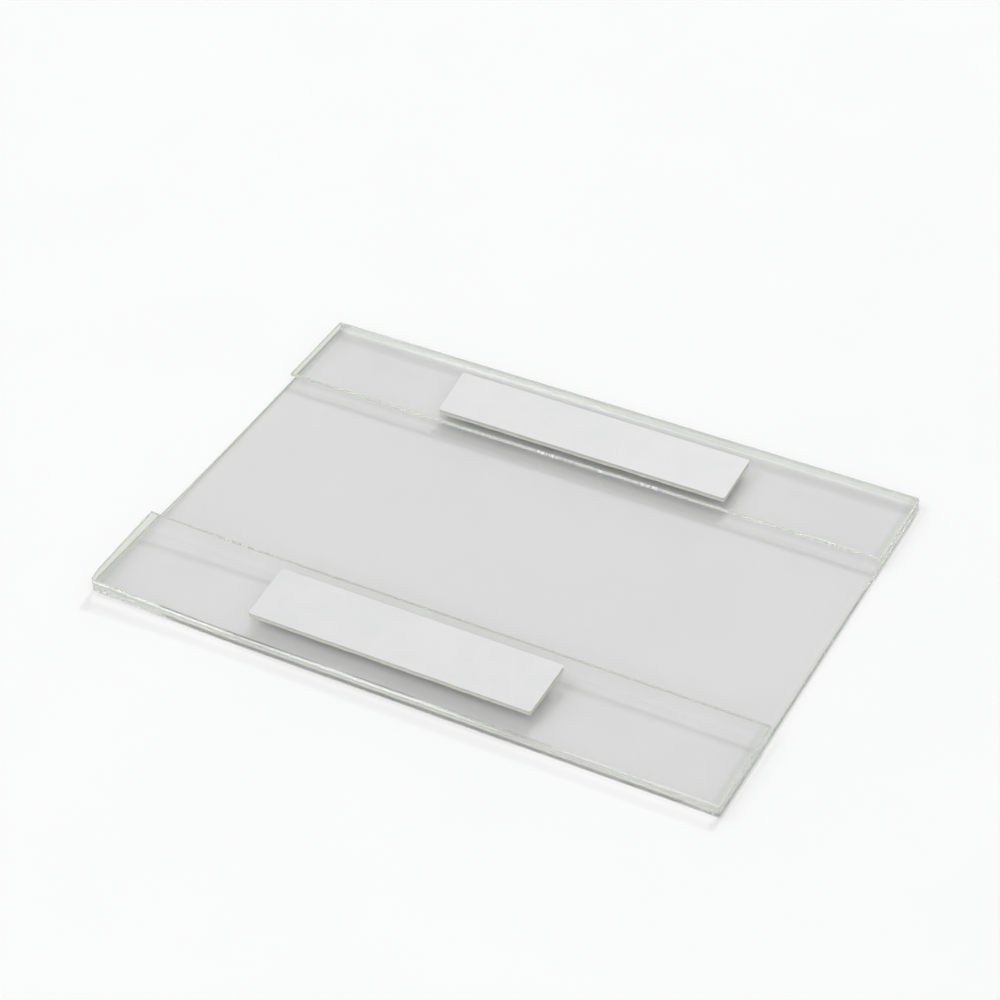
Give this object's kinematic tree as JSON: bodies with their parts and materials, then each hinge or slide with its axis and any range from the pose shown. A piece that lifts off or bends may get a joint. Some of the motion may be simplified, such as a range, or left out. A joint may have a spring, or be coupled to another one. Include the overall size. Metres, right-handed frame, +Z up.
{
  "type": "negative carrier",
  "caption": "Clear folded plastic sheet that holds a sheet-film negative under two side flanges, with a foam-tape strip under a release liner on each flange.",
  "frame": {"origin": "middle of the underside of the folded sheet, on the plane that it lies on", "axes": "+X along the length, the way the film slides in and out; +Y across the film, from the front fold to the rear fold; +Z up, from the base towards the flanges and the tape"},
  "size_m": [0.178, 0.13, 0.0062],
  "materials": {
    "clear_sheet": "clear colourless folded plastic sheet, glossy, with polished faces and a faint green-grey tint in its cut edges",
    "adhesive": "thin cloudy acrylic adhesive, tacky satin",
    "foam": "white closed-cell foam, matte, with fine cells on its cut sides",
    "liner": "white release paper with a smooth satin silicone coat"
  },
  "bodies": {
    "carrier": {"carrier_sheet": "clear_sheet", "front_lower_adhesive": "adhesive", "front_foam_core": "foam", "front_upper_adhesive": "adhesive", "rear_lower_adhesive": "adhesive", "rear_foam_core": "foam", "rear_upper_adhesive": "adhesive"},
    "front_liner": {"front_release_liner": "liner"},
    "rear_liner": {"rear_release_liner": "liner"}
  },
  "joints": [
    {"name": "front_liner_lift", "type": "slide", "parent": "carrier", "child": "front_liner", "axis": [0, -0.0436, 0.999], "range_m": [0, 0.03]},
    {"name": "rear_liner_lift", "type": "slide", "parent": "carrier", "child": "rear_liner", "axis": [0, 0, 1], "range_m": [0, 0.03]}
  ]
}
